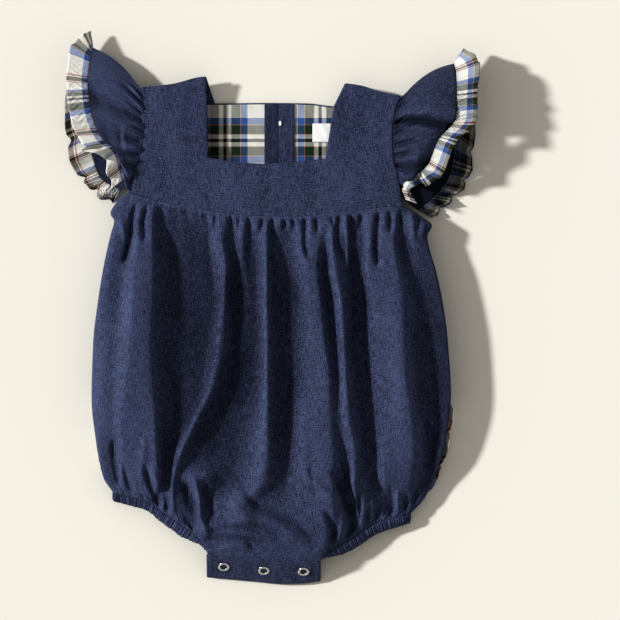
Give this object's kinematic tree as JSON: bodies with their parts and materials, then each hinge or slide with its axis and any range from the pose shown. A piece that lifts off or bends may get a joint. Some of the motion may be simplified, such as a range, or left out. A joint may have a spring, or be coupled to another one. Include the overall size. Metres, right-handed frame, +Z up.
{
  "type": "baby romper",
  "caption": "Denim bubble romper laid flat: square-necked yoke with wide straps, flutter sleeves edged with a checked ruffle, gathered body, elastic leg openings and a snapped crotch tab",
  "frame": {"origin": "On the floor under the middle of the body, in the flat underside of the back panel", "axes": "+X to the viewer's right across the garment, +Y from the crotch to the neck, +Z up from the surface that it lies on"},
  "size_m": [0.3395, 0.4521, 0.0431],
  "materials": {
    "denim": "light indigo denim, matt",
    "check_cloth": "soft woven check in white, dark green, blue, black and tan",
    "label_tape": "white woven tape, blank",
    "button_plastic": "white, slightly glossy",
    "snap_steel": "polished steel ring"
  },
  "bodies": {
    "root": {"front_body": "denim", "back_body": "denim", "leg_casing_left": "denim", "leg_casing_right": "denim", "crotch_tab_front": "denim", "crotch_tab_back": "denim", "front_yoke": "denim", "back_yoke_left": "denim", "back_yoke_right": "denim", "back_placket_left": "denim", "back_placket_right": "denim", "sleeve_left": "denim", "sleeve_right": "denim", "back_lining_left": "check_cloth", "back_lining_right": "check_cloth", "sleeve_ruffle_left": "check_cloth", "sleeve_ruffle_right": "check_cloth", "seat_ruffle_upper": "check_cloth", "seat_ruffle_middle": "check_cloth", "seat_ruffle_lower": "check_cloth", "label_blank": "label_tape", "back_button": "button_plastic", "snap_ring_1": "snap_steel", "snap_ring_2": "snap_steel", "snap_ring_3": "snap_steel"}
  },
  "joints": []
}
